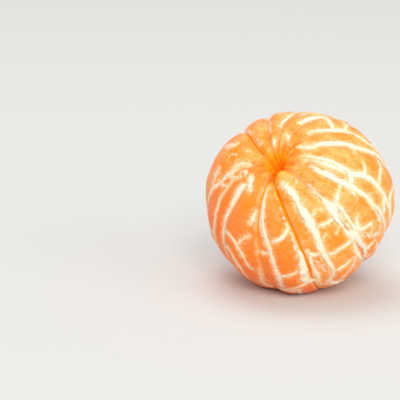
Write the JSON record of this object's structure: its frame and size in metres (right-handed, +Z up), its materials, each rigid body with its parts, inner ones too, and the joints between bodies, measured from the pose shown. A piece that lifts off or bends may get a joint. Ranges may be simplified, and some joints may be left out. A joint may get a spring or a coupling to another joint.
{
  "type": "peeled mandarin",
  "caption": "Whole peeled mandarin, its segments still together round the core and netted with white pith, resting on a slightly flattened side.",
  "frame": {"origin": "on the surface the fruit rests on, under the middle of its bounding box", "axes": "+Z up; the fruit's own axis leans 44 degrees from +Z, towards 240 degrees counterclockwise from +X, so the dimple where the segments meet looks forwards (-Y), up and to the left (-X)"},
  "size_m": [0.058, 0.0568, 0.0527],
  "materials": {
    "segment_membrane": "moist translucent membrane over orange juice sacs",
    "pith": "soft fibrous off-white"
  },
  "bodies": {
    "root": {"segment_01": "segment_membrane", "segment_02": "segment_membrane", "segment_03": "segment_membrane", "segment_04": "segment_membrane", "segment_05": "segment_membrane", "segment_06": "segment_membrane", "segment_07": "segment_membrane", "segment_08": "segment_membrane", "segment_09": "segment_membrane", "segment_10": "segment_membrane", "segment_11": "segment_membrane", "segment_12": "segment_membrane", "pith_strand_01": "pith", "pith_strand_02": "pith", "pith_strand_03": "pith", "pith_strand_04": "pith", "pith_strand_05": "pith", "pith_strand_06": "pith", "pith_strand_07": "pith", "pith_strand_08": "pith", "pith_strand_09": "pith", "pith_strand_10": "pith", "pith_strand_11": "pith", "pith_strand_12": "pith", "pith_strand_13": "pith"}
  },
  "joints": []
}
